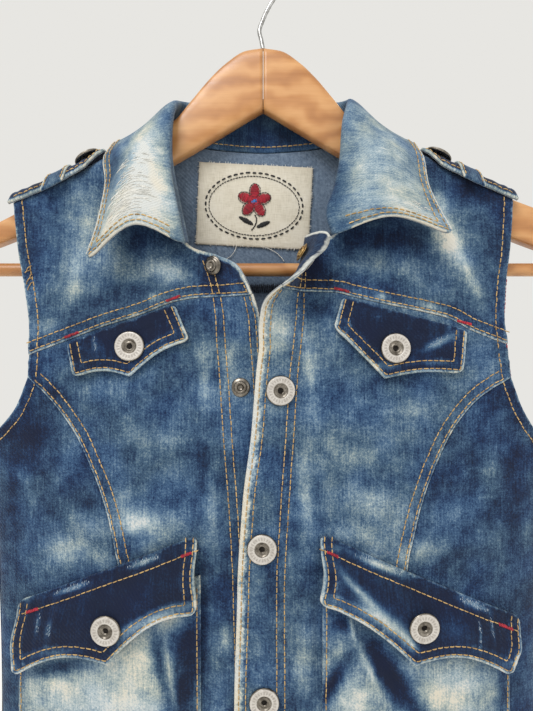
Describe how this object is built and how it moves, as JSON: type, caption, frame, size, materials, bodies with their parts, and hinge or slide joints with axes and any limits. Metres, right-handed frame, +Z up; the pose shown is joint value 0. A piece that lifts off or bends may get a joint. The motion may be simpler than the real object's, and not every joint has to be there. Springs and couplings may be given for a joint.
{
  "type": "denim vest on a wooden hanger",
  "caption": "Small sleeveless denim vest with a pointed collar, pocket flaps and snaps, worn pale in places, hanging open at the neck on a flat wooden hanger with a wire hook.",
  "frame": {"origin": "inside of the top of the hook's bend, where a rail carries the hanger", "axes": "+Z up, +X to the viewer's right and the wearer's left, -Y out of the front of the vest"},
  "size_m": [0.452, 0.0662, 0.643],
  "materials": {
    "denim": "washed twill",
    "faded_denim": "bleached twill",
    "dark_denim": "dark twill",
    "canvas": "plain weave",
    "snap_metal": "nickel",
    "stud_metal": "aged",
    "wood": "varnished",
    "wire": "bright"
  },
  "bodies": {
    "root": {"yoke_front_right": "denim", "yoke_front_left": "denim", "front_right": "denim", "front_left": "denim", "side_front_right": "denim", "side_front_left": "denim", "back_yoke": "denim", "back_panel": "denim", "pocket_right": "denim", "pocket_left": "denim", "shoulder_strap_right": "denim", "shoulder_strap_left": "denim", "strap_loop_right": "denim", "strap_loop_left": "denim", "collar": "faded_denim", "flap_chest_right": "dark_denim", "flap_chest_left": "dark_denim", "flap_waist_right": "dark_denim", "flap_waist_left": "dark_denim", "neck_patch": "canvas", "cap_chest_right": "snap_metal", "cap_chest_left": "snap_metal", "cap_waist_right": "snap_metal", "cap_waist_left": "snap_metal", "cap_front_1": "snap_metal", "cap_front_2": "snap_metal", "cap_front_3": "snap_metal", "cap_front_4": "snap_metal", "cap_front_5": "snap_metal", "cap_strap_right": "snap_metal", "cap_strap_left": "snap_metal", "socket_front_1": "stud_metal", "stud_front_1": "stud_metal", "stud_front_2": "stud_metal", "hanger_arm_right": "wood", "hanger_arm_left": "wood", "hanger_bar": "wood", "hanger_hook": "wire"}
  },
  "joints": []
}
